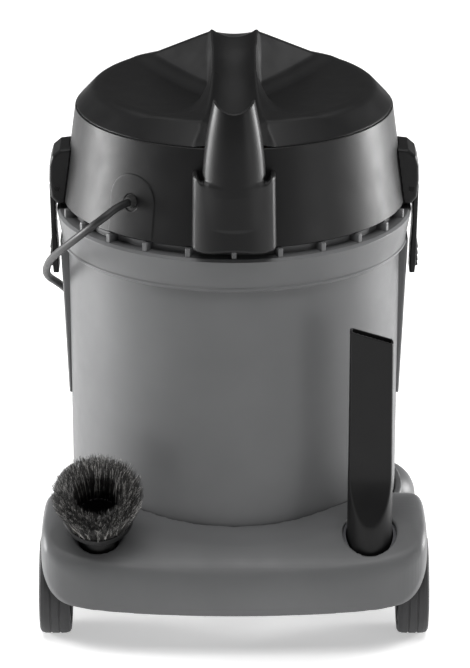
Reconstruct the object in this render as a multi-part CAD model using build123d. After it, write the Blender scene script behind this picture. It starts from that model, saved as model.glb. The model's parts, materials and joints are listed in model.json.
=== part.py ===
"""A compact wet and dry shop vacuum: a round tub on wheels, a lift-off motor head and two stored tools.

Millimetres, +Z up, +Y the front (hose inlet, switch, casters), -Y the rear (cable hook, stored tools).
Every shape is drawn about the tub's own axis, and save() moves it by AXIS_Y, which puts the origin on the
floor under the middle of the machine's bounding box.
"""

import math
import os

from build123d import *

# ---------------------------------------------------------------- driving dimensions
AXIS_Y = 11.3           # the tub's axis, ahead of the origin
WALL = 3.0              # moulded wall thickness

# tub
TUB_R = 151.0           # outer radius under the rim
TUB_FLOOR_Z = 62.0      # underside of the tub, on the chassis tray
LIP_Z = 338.0           # lower edge of the rim band
RIM_Z = 368.0           # top of the rim band
RIM_R = 161.0           # outer radius of the rim band at its top
MOUTH_R = 144.5         # inner radius of the tub's mouth
COLLAR_Z = 382.0        # top of the mouth collar, under the gasket
SLOT_H = 8.0            # height of the exhaust slot between rim and head
RIB_STEP = 15           # degrees between the ribs that carry the head
FIN_HALF = 15.0         # half width of the side ribs on the tub
FIN_END_Z = 189.0

# head
SKIRT_Z = RIM_Z + SLOT_H
SKIRT_R = 154.6         # outer radius at the skirt's lower edge
SHOULDER_Z = 465.0      # joint between skirt and cover
SHOULDER_R = 143.0
BEVEL_Z = 484.0         # upper edge of the bevel
BEVEL_R = 125.0
TOP_Z = 525.0           # highest point, the handle's two edges
HEAD_LIFT_FLOOR = 385.0  # underside of the motor deck's flange

# handle and groove
RIDGE_HALF = 21.0       # half width of the handle
GROOVE_R = 28.0         # radius of the hose groove along the handle
GROOVE_DEPTH = 8.0
FLOOR_Z = 480.0         # recess floor behind the facets

TAB_R = 136.0           # circle of the screws that hold the motor deck
COVER_POSTS = [(82, 82), (-82, 82), (-82, -82), (82, -82)]

# chassis
DECK_HALF = 175.0       # half width over the rear corners
SKIRT_BOTTOM_Z = 48.0   # lower edge of the rear bumper
DECK_CUT_Z = 20.0       # where the deck's outlines are closed, below its open underside
TRAY_Z = 58.0           # underside of the tray under the tub
TRAY_SCREWS = [(70, 70), (-70, 70), (-70, -70), (70, -70)]
RING_R = 156.0          # outer radius of the tray's ring wall
WELL_R = 152.5          # radius of the well the tub stands in

# wheels
WHEEL_R = 45.0
WHEEL_IN, WHEEL_OUT = 147.5, 175.5
WHEEL_Y = -123.0
AXLE_R = 5.0
CASTER_X, CASTER_Y = 133.0, 115.0
CASTER_R = 20.0
CASTER_TRAIL = 14.0
STEM_R = 4.0
DOME_R = 40.0

# stored tools
TOOL_X, TOOL_Y = 121.0, -162.0
CUP_FLOOR_Z = 50.0
NOZZLE_R = 20.0         # outer radius of a 35 mm system tool
NOZZLE_TOP_Z = 307.0
BRUSH_NECK_R = 18.5
BRUSH_LEAN = 30.0       # degrees the bristle ring leans to the rear
BRUSH_KNEE_Z = 118.0
BRISTLE_BASE, BRISTLE_TIP = 18.0, 50.0

HOOK_SCREWS = [(-22, 400), (22, 400)]

# latches
LATCH_X, LATCH_Z = 160.0, 388.0
LATCH_HALF = 16.0
LATCH_FOOT_Z = 306.0
BRACKET_SCREWS, BRACKET_SCREW_Z = (-12, 12), 412
PIN_R = 2.5

# hose inlet
INLET_Z = 290.0
INLET_R = 19.0
INLET_FACE_Y = 195.0
INLET_SCREWS = [(22, INLET_Z + 22), (-22, INLET_Z + 22), (-22, INLET_Z - 22), (22, INLET_Z - 22)]

# cord
CORD_R = 3.5
CORD_Z = 409.0
CORD_AZIMUTH = -36.9    # degrees from the rear, towards -X
COIL_X, COIL_Y = -10.0, 262.0
COIL_MEAN_R = 53.0
COIL_HALF, COIL_HIGH = 17.9, 28.4    # half width and height of the wound ring
PLUG_R = 17.5


# ---------------------------------------------------------------- helpers
def save(name, shape):
    """Write one sub-part, moved from the tub's axis to the machine's origin."""
    export_step(Pos(0, AXIS_Y, 0) * Compound(children=list(shape.solids())), f"parts/{name}.step")


def turned(*corners):
    """Solid of revolution about Z from (radius, height) corners."""
    return revolve(make_face(Polyline([(r, 0, z) for r, z in corners], close=True)), Axis.Z)


def tube(r_out, r_in, z0, z1):
    """Upright tube about Z."""
    return turned((r_in, z0), (r_out, z0), (r_out, z1), (r_in, z1))


def rod(r, z0, z1, x=0.0, y=0.0):
    """Upright cylinder."""
    return Pos(x, y, (z0 + z1) / 2) * Cylinder(r, z1 - z0)


def rod_x(r, x0, x1, y=0.0, z=0.0):
    """Cylinder along X."""
    return Pos((x0 + x1) / 2, y, z) * Rot(0, 90, 0) * Cylinder(r, x1 - x0)


def rod_y(r, y0, y1, x=0.0, z=0.0):
    """Cylinder along Y."""
    return Pos(x, (y0 + y1) / 2, z) * Rot(90, 0, 0) * Cylinder(r, y1 - y0)


def block(x0, x1, y0, y1, z0, z1):
    """Box from its limits."""
    return Pos((x0 + x1) / 2, (y0 + y1) / 2, (z0 + z1) / 2) * Box(x1 - x0, y1 - y0, z1 - z0)


def slab_x(corners, x0, x1):
    """Prism along X with (y, z) corners."""
    face = make_face(Polyline([(x0, y, z) for y, z in corners], close=True))
    return extrude(face, amount=x1 - x0, dir=(1, 0, 0))


def slab_y(corners, y0, y1):
    """Prism along Y with (x, z) corners."""
    face = make_face(Polyline([(x, y0, z) for x, z in corners], close=True))
    return extrude(face, amount=y1 - y0, dir=(0, 1, 0))


def slab_z(corners, z0, z1):
    """Prism along Z with (x, y) corners."""
    face = make_face(Polyline([(x, y, z0) for x, y in corners], close=True))
    return extrude(face, amount=z1 - z0, dir=(0, 0, 1))


def outline(*curves):
    """Flat face inside a closed run of curves."""
    return Face(Wire([edge for curve in curves for edge in curve.edges()]))


def around(shape, count, start=0.0):
    """Copies of a shape, evenly spaced about Z."""
    return [Rot(0, 0, start + i * 360 / count) * shape for i in range(count)]


def group(shapes):
    """Separate solids in one compound."""
    return Compound(children=[s for shape in shapes for s in shape.solids()])


def screw(length, r=2.0, head_r=3.6, head_h=2.4):
    """Pan-head screw pointing up from z = 0, its head below."""
    return rod(head_r, -head_h, 0) + rod(r, 0, length)


def skirt_radius(z, inset=0.0):
    """Outer radius of the head's skirt at a height."""
    share = (z - SKIRT_Z) / (SHOULDER_Z - SKIRT_Z)
    return SKIRT_R + share * (SHOULDER_R - SKIRT_R) - inset


# ---------------------------------------------------------------- tub
def make_tub():
    """The round tub with its rim band, the ribs that carry the head and the two side ribs."""
    foot_r = TUB_R - 2
    shell = turned(
        (0, TUB_FLOOR_Z), (foot_r - 7, TUB_FLOOR_Z), (foot_r, TUB_FLOOR_Z + 7),
        (TUB_R, LIP_Z), (RIM_R - 4.5, LIP_Z), (RIM_R, RIM_Z - 2), (RIM_R - 2, RIM_Z),
        (MOUTH_R + WALL, RIM_Z), (MOUTH_R + WALL, COLLAR_Z), (MOUTH_R, COLLAR_Z),
        (MOUTH_R, LIP_Z + 24), (TUB_R - WALL, LIP_Z + 18), (foot_r - WALL, TUB_FLOOR_Z + 9),
        (foot_r - 9, TUB_FLOOR_Z + WALL), (0, TUB_FLOOR_Z + WALL))
    rib = block(MOUTH_R + WALL - 1, RIM_R - 4, -1.5, 1.5, RIM_Z - 0.5, SKIRT_Z - 0.3)
    shell += around(rib, 360 // RIB_STEP)
    for side in (1, -1):
        fin = slab_y([(side * (TUB_R - 5), LIP_Z), (side * (RIM_R - 3), LIP_Z),
                      (side * TUB_R, FIN_END_Z), (side * (TUB_R - 5), FIN_END_Z)],
                     -FIN_HALF, FIN_HALF)
        shell += fin - rod(TUB_R - 2, FIN_END_Z - 5, LIP_Z + 5)
    for x, y in TRAY_SCREWS:
        shell += rod(6, TUB_FLOOR_Z + 1, TUB_FLOOR_Z + 14, x, y)
        shell -= rod(2.05, TUB_FLOOR_Z - 1, TUB_FLOOR_Z + 10, x, y)
    for x, z in INLET_SCREWS:
        shell -= rod_y(2.05, TUB_R - 20, TUB_R + 20, x, z)
    return shell - rod_y(INLET_R + 5.5, TUB_R - 20, TUB_R + 20, z=INLET_Z)


def make_inlet():
    """Hose socket on the front of the tub, with a curved flange against the wall."""
    pad = rod_y(37, TUB_R - 12, TUB_R + 5, z=INLET_Z) - rod(TUB_R + 0.3, INLET_Z - 60, INLET_Z + 60)
    body = rod_y(INLET_R + 5, TUB_R - 26, INLET_FACE_Y, z=INLET_Z) + pad
    body += rod_y(INLET_R + 7.5, INLET_FACE_Y - 9, INLET_FACE_Y, z=INLET_Z)
    return body - rod_y(INLET_R, TUB_R - 30, INLET_FACE_Y + 5, z=INLET_Z)


def make_inlet_parts():
    """Baffle inside the tub, seal and screws of the hose inlet."""
    y_in = TUB_R - 26
    baffle = tube(INLET_R + 8.5, INLET_R + 5.2, 0, 34)
    baffle += rod(INLET_R + 8.5, -3, 0)
    baffle = Pos(0, y_in - 22, INLET_Z) * Rot(-90, 0, 0) * baffle
    baffle -= block(-60, 60, y_in - 20, y_in - 1, INLET_Z - 60, INLET_Z - 8)
    baffle -= rod(MOUTH_R - 4, 0, 500) & block(-60, 60, y_in + 8, y_in + 20, 200, 340)
    save("inlet_baffle", baffle & block(-60, 60, 80, y_in + 10, 200, 340))
    seal = rod_y(INLET_R + 9, TUB_R - 11, TUB_R + 1, z=INLET_Z) - rod_y(INLET_R + 5, 0, 200, z=INLET_Z)
    save("inlet_seal", seal & tube(TUB_R - WALL - 0.7, TUB_R - WALL - 2.6, INLET_Z - 60, INLET_Z + 60))
    return [Pos(x, TUB_R + 5, z) * Rot(90, 0, 0) * screw(10) for x, z in INLET_SCREWS]


# ---------------------------------------------------------------- chassis
def deck_block(t):
    """Outer shape of the rear deck and bumper, set in by t: side, rear and plan outlines crossed."""
    rear_y, front_y = -200 + t, -45
    crest = Spline((0, rear_y, SKIRT_BOTTOM_Z), (0, rear_y - 4.5, 68), (0, rear_y + 2, 87 - t / 2),
                   (0, rear_y + 14, 98 - t), (0, -168, 109 - t), (0, -148, 119 - t), (0, -120, 125 - t),
                   (0, -85, 118 - t), (0, front_y, 100 - t))
    under = Polyline((0, front_y, 100 - t), (0, front_y, DECK_CUT_Z), (0, rear_y, DECK_CUT_Z),
                     (0, rear_y, SKIRT_BOTTOM_Z))
    side = extrude(outline(crest, under), amount=DECK_HALF + 10, dir=(1, 0, 0), both=True)
    half = DECK_HALF - t
    top = [(0, 112 - t), (50, 114 - t), (100, 121 - t), (138, 125 - t), (half - 13, 118 - t),
           (half - 3, 104 - t / 2), (half, 88), (half - 1.5, 76), (half - 10, 60),
           (half - 28, SKIRT_BOTTOM_Z)]
    loop = Spline(*[(-x, -30, z) for x, z in reversed(top[1:])], *[(x, -30, z) for x, z in top])
    low = Polyline((half - 28, -30, SKIRT_BOTTOM_Z), (half - 28, -30, DECK_CUT_Z),
                   (28 - half, -30, DECK_CUT_Z), (28 - half, -30, SKIRT_BOTTOM_Z))
    rear = extrude(outline(loop, low), amount=200, dir=(0, -1, 0))
    arc = [(0, rear_y - 4.5), (100, rear_y + 3), (half - 28, rear_y + 14),
           (half - 7, -171 + t / 2), (half, -148)]
    bow = Spline(*[(-x, y, 0) for x, y in reversed(arc[1:])], *[(x, y, 0) for x, y in arc])
    sides = Polyline((half, -148, 0), (half, -72, 0), (152 - t, front_y - t, 0), (t - 152, front_y - t, 0),
                     (-half, -72, 0), (-half, -148, 0))
    plan = extrude(outline(bow, sides), amount=160, dir=(0, 0, 1))
    return side & rear & plan


def make_chassis():
    """Rear deck and bumper, tray and ring wall under the tub, and the two caster domes, as one moulding."""
    body = deck_block(0) & block(-200, 200, -220, 0, SKIRT_BOTTOM_Z, 140)
    body -= deck_block(WALL)
    body += tube(RING_R, WELL_R, 42, 96) + rod(RING_R, TRAY_Z, TUB_FLOOR_Z)
    for side in (1, -1):
        dome = rod(DOME_R, 30, 66, side * CASTER_X, CASTER_Y)
        dome = fillet(dome.edges().group_by(Axis.Z)[-1], 14)
        dome -= rod(DOME_R - WALL, 20, 56, side * CASTER_X, CASTER_Y)
        body += dome
        body += block(side * 142 - 3, side * 142 + 3, WHEEL_Y - 14, WHEEL_Y + 14, 34, 119)
    body -= rod(WELL_R, TUB_FLOOR_Z, 200)
    body -= rod(WELL_R - 6, 20, TRAY_Z)
    for side in (1, -1):
        body += rod(9, 50, TRAY_Z + 1, side * CASTER_X, CASTER_Y)
        body -= rod(STEM_R + 0.06, 40, 62, side * CASTER_X, CASTER_Y)
        body -= rod_x(WHEEL_R + 3, side * 161 - 15, side * 161 + 15, WHEEL_Y, WHEEL_R)
        body -= rod(cup_radius(side), 60, 140, side * TOOL_X, TOOL_Y)
    body -= rod_x(AXLE_R + 0.05, -150, 150, WHEEL_Y, WHEEL_R)
    for x, y in TRAY_SCREWS:
        body -= rod(2.05, TRAY_Z - 5, TUB_FLOOR_Z + 1, x, y)
    return max(body.solids(), key=lambda solid: solid.volume)


def cup_radius(side):
    """Inner radius of the tool cup on a side: the nozzle's on the right, the brush's on the left."""
    return NOZZLE_R + 1.2 if side > 0 else BRUSH_NECK_R + 1.2


def make_cup(side):
    """Cup under the deck that a stored tool stands in, trimmed to the deck's underside."""
    r_in = cup_radius(side)
    cup = rod(r_in + 2.5, CUP_FLOOR_Z - 2.5, 130, side * TOOL_X, TOOL_Y)
    cup -= rod(r_in, CUP_FLOOR_Z, 140, side * TOOL_X, TOOL_Y)
    return cup & deck_block(WALL + 0.1)


# ---------------------------------------------------------------- wheels
def make_wheel(side):
    """Disc wheel and its tyre on one end of the rear axle."""
    at = Pos(side * WHEEL_IN, WHEEL_Y, WHEEL_R) * Rot(0, 90 * side, 0)
    width = WHEEL_OUT - WHEEL_IN
    disc = turned((AXLE_R + 0.06, 1), (13, 1), (13, 9), (33, 9), (33, 1.5), (38, 1.5), (38, width - 1.5),
                  (33, width - 1.5), (33, 17), (13, 17), (13, width - 6), (AXLE_R + 0.06, width - 6))
    for web in around(block(11, 34, -1.5, 1.5, 3, 10), 6):
        disc += web
    tyre = turned((38, 0), (43, 0), (WHEEL_R, 2.5), (WHEEL_R, width - 2.5), (43, width), (38, width))
    cap = tube(10, AXLE_R, width - 5.6, width - 3.5) + rod(10, width - 3.5, width - 2)
    return at * disc, at * tyre, at * cap


def make_caster(side):
    """Swivel fork with its stem, wheel and axle pin."""
    x, y = side * CASTER_X, CASTER_Y
    axle_y = y - CASTER_TRAIL
    fork = rod(14, 43.5, 47.5, x, y) + rod(STEM_R, 47, 61, x, y)
    for leg in (1, -1):
        cheek = slab_x([(y + 9, 45), (axle_y + 6, CASTER_R - 4), (axle_y - 6, CASTER_R - 4), (y - 13, 45)],
                       x + leg * 10.6 - 1.4, x + leg * 10.6 + 1.4)
        fork += cheek & rod(14 + CASTER_TRAIL, 0, 60, x, y - 6)
    fork -= rod_x(2.0, x - 20, x + 20, axle_y, CASTER_R)
    wheel = Pos(x - 8.5, axle_y, CASTER_R) * Rot(0, 90, 0) * turned(
        (2.06, 0), (6, 0), (6, 3), (14, 3), (14, 1), (18, 1), (CASTER_R, 3), (CASTER_R, 14), (18, 16),
        (14, 16), (14, 14), (6, 14), (6, 17), (2.06, 17))
    pin = rod_x(2.0, x - 12, x + 12, axle_y, CASTER_R)
    return fork, wheel, pin


# ---------------------------------------------------------------- stored tools
def make_nozzle():
    """Crevice nozzle: a round socket flattened to a slot, its tip cut aslant, hollow right through."""
    def body(r, half, z0, z1):
        round_part = rod(r, z0, z1)
        y = [(-r, z0), (-r, 118), (-half, 165), (-half, z1), (half, z1), (half, 165), (r, 118), (r, z0)]
        return round_part & slab_x(y, -r, r)

    outer = body(NOZZLE_R, 7.0, CUP_FLOOR_Z + 3, NOZZLE_TOP_Z)
    inner = body(NOZZLE_R - 2, 5.0, CUP_FLOOR_Z, NOZZLE_TOP_Z + 5)
    slant = slab_y([(-30, NOZZLE_TOP_Z + 3), (30, NOZZLE_TOP_Z - 17), (30, NOZZLE_TOP_Z + 20),
                    (-30, NOZZLE_TOP_Z + 20)], -30, 30)
    return Pos(TOOL_X, TOOL_Y, 0) * (outer - inner - slant)


def brush_frame():
    """Place of the brush's knee, with Z along the leaning bristle ring."""
    return Pos(-TOOL_X, TOOL_Y, BRUSH_KNEE_Z) * Rot(BRUSH_LEAN, 0, 0)


def make_brush():
    """Round dusting brush: an upright neck, a leaning funnel that carries the ring, and the bristles."""
    neck = rod(BRUSH_NECK_R, CUP_FLOOR_Z + 3, BRUSH_KNEE_Z + 4, -TOOL_X, TOOL_Y)
    bore = rod(BRUSH_NECK_R - 2.5, CUP_FLOOR_Z, BRUSH_KNEE_Z, -TOOL_X, TOOL_Y)
    funnel = turned((0, -3), (BRUSH_NECK_R, -3), (BRUSH_NECK_R + 1, 1), (31, BRISTLE_BASE - 7),
                    (31, BRISTLE_BASE), (0, BRISTLE_BASE))
    hollow = turned((0, -8), (BRUSH_NECK_R - 3, -8), (BRUSH_NECK_R - 3, 8), (17, BRISTLE_BASE - 4),
                    (17, BRISTLE_BASE + 1), (0, BRISTLE_BASE + 1))
    body = (neck + brush_frame() * funnel) - bore - brush_frame() * hollow
    base = BRISTLE_BASE + 0.01
    bristles = turned((18, base), (29, base), (38.5, BRISTLE_TIP), (22, BRISTLE_TIP))
    return body, brush_frame() * bristles


# ---------------------------------------------------------------- head
def panel_tool(grow):
    """D-shaped cutter for the cable entry panel, standing in front of the skirt at the cord's azimuth."""
    width, top = 25.0 + grow, CORD_Z + 1
    foot = SKIRT_Z - 10
    face = outline(Polyline((width, 0, top), (width, 0, foot), (-width, 0, foot), (-width, 0, top)),
                   ThreePointArc((-width, 0, top), (0, 0, top + 21 + grow), (width, 0, top)))
    return Rot(0, 0, CORD_AZIMUTH) * extrude(Pos(0, -110, 0) * face, amount=60, dir=(0, -1, 0))


def skirt_shell(outset, thickness):
    """Conical ring that follows the head's skirt."""
    return turned((skirt_radius(SKIRT_Z) + outset, SKIRT_Z), (SHOULDER_R + outset, SHOULDER_Z),
                  (SHOULDER_R + outset - thickness, SHOULDER_Z), (SKIRT_R + outset - thickness, SKIRT_Z))


def make_skirt():
    """Conical lower housing of the head, with tabs for the deck screws and its openings."""
    skirt = skirt_shell(0, WALL)
    ledge = turned((130, 388.6), (150.6, 388.6), (150.0, 392.6), (130, 392.6))
    for i in range(6):
        tab = Rot(0, 0, 30 + 60 * i) * block(120, 160, -11, 11, 380, 400)
        skirt += ledge & tab
        skirt -= Rot(0, 0, 30 + 60 * i) * rod(2.05, 380, 400, TAB_R, 0)
    skirt -= block(-20.3, 20.3, 130, 170, 403.7, 438.3)
    skirt -= panel_tool(0.4)
    for x, z in HOOK_SCREWS:
        skirt -= rod_y(2.05, -160, -130, x, z)
    for side in (1, -1):
        for y in BRACKET_SCREWS:
            skirt -= rod_x(2.05, side * 145 - 10, side * 145 + 10, y, BRACKET_SCREW_Z)
    return skirt


def make_cable_panel():
    """Panel let into the skirt where the cord leaves, with the cord's round mouth."""
    panel = skirt_shell(-0.1, WALL) & panel_tool(0)
    mouth = Rot(0, 0, CORD_AZIMUTH) * rod_y(7.5, -160, -120, z=CORD_Z)
    return panel - mouth


def make_cord_gland():
    """Tapered rubber strain relief that grips the cord in the panel's mouth."""
    relief = turned((CORD_R, -155.5), (4.8, -155.5), (7.0, -146), (7.0, -144.8), (10.5, -144.8), (10.5, -141),
                    (6.5, -141), (6.0, -128), (CORD_R, -128))
    relief = Pos(0, 0, CORD_Z) * Rot(-90, 0, 0) * relief
    return Rot(0, 0, CORD_AZIMUTH) * relief


def cover_outer(t):
    """Outside of the cover, set in by t: a bevelled dome under a roof that falls away to both sides."""
    rim, peak = (SHOULDER_R - t, 0, SHOULDER_Z), (0, 0, TOP_Z + 4 - t)
    brow = (BEVEL_R - t / 2, 0, BEVEL_Z - t)
    dome = revolve(outline(Line((0, 0, SHOULDER_Z), rim), ThreePointArc(rim, (136 - t, 0, 476 - t / 2), brow),
                           ThreePointArc(brow, (75, 0, 511 - t), peak), Line(peak, (0, 0, SHOULDER_Z))),
                   Axis.Z)
    roof = [(19, TOP_Z - t), (90, 491.5 - t), (160, 460 - t), (160, 400), (-160, 400), (-160, 460 - t),
            (-90, 491.5 - t), (-19, TOP_Z - t)]
    return dome & slab_y(roof, -160, 160)


def facet_space(side, t):
    """Everything above one side's facet, which rises from the recess floor to the front roof, set out by t."""
    steep = Vector(side * 1.321, -0.874, 1).normalized()
    foot = Vector(side * RIDGE_HALF, -22, FLOOR_Z) - steep * t
    above = Plane(origin=foot, z_dir=steep) * Box(500, 500, 300, align=(Align.CENTER,) * 2 + (Align.MIN,))
    return above & block(*sorted((0, side * 160)), -160, 160, FLOOR_Z - 30, TOP_Z + 20)


def recess(t):
    """What is taken away behind the two facets, down to a gently dished floor, set out by t."""
    well = Pos(0, -14, FLOOR_Z + 44) * Sphere(60 + t)
    hollow = slab_x([(-160, FLOOR_Z + 4 - t), (-118, FLOOR_Z + 3.5 - t), (-70, FLOOR_Z - t),
                     (60, FLOOR_Z - 2 - t), (118, FLOOR_Z + 3 - t), (118, TOP_Z + 20), (-160, TOP_Z + 20)],
                    -160, 160)
    hollow &= facet_space(1, t) + facet_space(-1, t)
    return hollow + (well & block(-60, 60, -80, 0, 450, FLOOR_Z + 10))


def ridge():
    """The handle before it is hollowed: its side view crossed with its plan, which flares to the rear."""
    crown = Spline((0, 62, TOP_Z - 1.5), (0, 40, TOP_Z), (0, 0, TOP_Z - 7), (0, -40, TOP_Z - 15.5),
                   (0, -80, TOP_Z - 23), (0, -110, BEVEL_Z + 3), (0, -124, BEVEL_Z + 1))
    low = FLOOR_Z - 3
    foot = Polyline((0, -124, BEVEL_Z + 1), (0, -124, low), (0, 62, low), (0, 62, TOP_Z - 1.5))
    side = extrude(outline(crown, foot), amount=60, dir=(1, 0, 0), both=True)
    edge = [(RIDGE_HALF, 62, 0), (RIDGE_HALF, 20, 0), (RIDGE_HALF - 0.5, -30, 0), (RIDGE_HALF + 2, -70, 0),
            (RIDGE_HALF + 11, -98, 0), (50, -119, 0)]
    left = [(-x, y, z) for x, y, z in reversed(edge)]
    plan = outline(Spline(*edge), Line(edge[-1], left[0]), Spline(*left), Line(left[-1], edge[0]))
    return side & extrude(plan, amount=600, dir=(0, 0, 1))


def groove_tool():
    """Round trough for the hose along the top of the handle and over the rear edge."""
    up = GROOVE_R - GROOVE_DEPTH
    fall = [(75, -5), (40, 0), (0, -7), (-40, -15.5), (-80, -23), (-115, -34), (-150, -52)]
    path = Spline(*[(0, y, TOP_Z + dz + up) for y, dz in fall])
    return sweep(Plane(origin=path @ 0, z_dir=path % 0) * Circle(GROOVE_R), path=path)


def ridge_hollow():
    """Space inside the handle, open to the head below it."""
    half = RIDGE_HALF - 4
    return slab_x([(-58, FLOOR_Z - 20), (34, FLOOR_Z - 20), (38, FLOOR_Z + 8), (28, TOP_Z - 16),
                   (-5, TOP_Z - 21.5), (-42, TOP_Z - 29.5)], -half, half)


def make_cover():
    """Top cover of the head: front roof, dished recess with the handle over it, and screw posts."""
    solid = cover_outer(0) - recess(0)
    shell = solid - (cover_outer(WALL) - recess(WALL))
    shell += tube(SHOULDER_R - WALL - 0.3, SHOULDER_R - 2 * WALL, SHOULDER_Z - 8, SHOULDER_Z + 5)
    for x, y in COVER_POSTS:
        shell += rod(5, 389, 466, x, y) + (rod(5, 465, 510, x, y) & solid)
        shell -= rod(2.05, 380, 405, x, y)
    shell += ridge() & cover_outer(0)
    shell -= ridge_hollow()
    shell -= groove_tool()
    return max(shell.solids(), key=lambda part: part.volume)


def make_motor_deck():
    """Plate that closes the head from below, with a collar in the tub's mouth and a cup for the motor."""
    deck = turned((20, 336), (78, 336), (78, HEAD_LIFT_FLOOR), (141, HEAD_LIFT_FLOOR), (141, 368),
                  (MOUTH_R - 0.6, 368),
                  (MOUTH_R - 0.6, HEAD_LIFT_FLOOR), (148.5, HEAD_LIFT_FLOOR), (148.5, 388.5), (75, 388.5),
                  (75, 339.5), (20, 339.5))
    holes = around(rod(2.05, 380, 392, TAB_R, 0), 6, 30)
    for hole in holes + [rod(2.05, 380, 392, x, y) for x, y in COVER_POSTS]:
        deck -= hole
    return deck


def make_motor():
    """Suction motor: fan can, frame, coils, rotor with its fan, bearings, mounts and clamp bridge."""
    can = turned((22, 345), (70, 345), (70, 398), (44, 398), (44, 396.5), (68.5, 396.5), (68.5, 346.5),
                 (22, 346.5))
    save("motor_fan_can", can)
    frame = turned((8, 398), (44, 398), (44, 446), (8, 446), (8, 443), (41, 443), (41, 401), (8, 401))
    for window in around(block(35, 50, -9, 9, 408, 434), 4, 45):
        frame -= window
    save("motor_frame", frame)
    save("motor_field_coils", tube(40.8, 29, 404, 434))
    save("motor_bearings", group([tube(8, 4.05, 398, 401), tube(8, 4.05, 443, 446)]))
    save("motor_brushes", group([block(*sorted((side * 13.3, side * 40.5)), -3.5, 3.5, 435.5, 440.5)
                                 for side in (1, -1)]))
    save("motor_rotor", rod(4, 350, 449) + rod(27, 405, 433) + rod(13, 435, 441))
    fan = tube(62, 4, 352, 353.2) + tube(62, 24, 370, 371.2) + tube(9, 4, 353, 374)
    for blade in around(block(24, 61, -0.8, 0.8, 353, 370.5), 9):
        fan += blade
    save("motor_fan", fan)
    save("motor_mounts", group([tube(68, 50, 339.5, 345), tube(26, 9, 446, 450.5)]))
    bridge = block(-88, 88, -14, 14, 450.5, 454.5) - rod(6, 440, 460)
    for side in (1, -1):
        bridge += block(side * 86 - 2, side * 86 + 2, -14, 14, 388.5, 452)
        bridge += block(side * 93 - 8, side * 93 + 8, -14, 14, 388.5, 391.5)
    save("motor_bridge", bridge)
    foam = tube(134, 123, 395, 440) - block(-14, 14, 110, 140, 380, 450)
    save("sound_foam", foam - Rot(0, 0, CORD_AZIMUTH) * block(-16, 16, -140, -110, 380, 450))


def make_filter():
    """Cartridge filter around the float cage, with its rubber ring and its screwed cap."""
    pleats = 36
    outline = []
    for i in range(pleats):
        a, b = 2 * math.pi * i / pleats, 2 * math.pi * (i + 0.5) / pleats
        outline += [(58 * math.cos(a), 58 * math.sin(a)), (44 * math.cos(b), 44 * math.sin(b))]
    media = slab_z(outline, 196, 330) - rod(40, 190, 340)
    save("filter_pleats", media)
    save("filter_top_ring", tube(61, 36, 330, 336))
    save("filter_cap", tube(61, 8, 190, 196) + tube(12, 8, 184, 190))
    cage = tube(34, 31.5, 240, 336) + rod(34, 237, 240)
    for slot in around(block(28, 38, -4, 4, 248, 318), 8):
        cage -= slot
    cage += rod(7.5, 186, 238)
    save("float_cage", cage)
    save("float", tube(27, 24, 242, 272) + rod(27, 272, 275))


def make_switch():
    """Rocker switch in a bezel on the front of the head, with its body behind."""
    y0 = 152.0
    bezel = block(-20, 20, 139, y0, 404, 438)
    bezel = fillet(bezel.edges().filter_by(Axis.Y), 4)
    bezel -= block(-11.5, 11.5, 141.5, y0 + 2, 407, 435)
    rocker = slab_x([(-4, -12), (3, -12.4), (5.6, -11.6), (4.6, 0), (5.6, 11.6), (3, 12.4), (-4, 12)],
                    -11, 11)
    rocker = Pos(0, 149, 421) * Rot(6, 0, 0) * (rocker + rod_x(1.9, -13, 13))
    save("switch_bezel", bezel - rod_x(2.0, -13.4, 13.4, 149, 421))
    save("switch_rocker", rocker)
    save("switch_body", block(-10, 10, 116, 139, 409, 433))


# ---------------------------------------------------------------- cable hook
def hook_section(half, back, bulge, z):
    """Horizontal D of the hook at one height: straight sides and a rounded rear."""
    return outline(Line((half, -130, z), (half, -back, z)),
                   ThreePointArc((half, -back, z), (0, -back - bulge, z), (-half, -back, z)),
                   Polyline((-half, -back, z), (-half, -130, z), (half, -130, z)))


def make_hook():
    """Cable hook on the rear of the head: a hollow foot and a rounded tongue that stands away and narrows."""
    t = 3.2
    foot = loft([hook_section(37, 163, 17, SKIRT_Z + 2), hook_section(36, 158, 18, 446)])
    foot -= loft([hook_section(37 - t, 163 - t, 17, SKIRT_Z), hook_section(36 - t, 158 - t, 18, 448)])
    tongue = loft([hook_section(27.5, 160, 18.5, 436), hook_section(24.5, 157.5, 18.5, 480),
                   hook_section(18.5, 152, 16, 512)])
    tongue -= loft([hook_section(27.5 - t, 160 - t, 18.5, 434), hook_section(24.5 - t, 157.5 - t, 18.5, 480),
                    hook_section(18.5 - t, 152 - t, 16, 514)])
    hook = foot + (tongue - block(-60, 60, -152, -100, 430, 520))
    for x, z in HOOK_SCREWS:
        hook += rod_y(5, -172, -140, x, z)
    hook -= skirt_filled(0.1)
    for x, z in HOOK_SCREWS:
        hook -= rod_y(2.05, -168, -130, x, z)
    return hook


def skirt_filled(outset):
    """Everything inside the head's skirt, as a cutter for what is fixed on it."""
    low = skirt_radius(SKIRT_Z - 2) + outset
    high = skirt_radius(SHOULDER_Z + 1) + outset
    return turned((0, SKIRT_Z - 2), (low, SKIRT_Z - 2), (high, SHOULDER_Z + 1), (0, SHOULDER_Z + 1))


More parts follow.
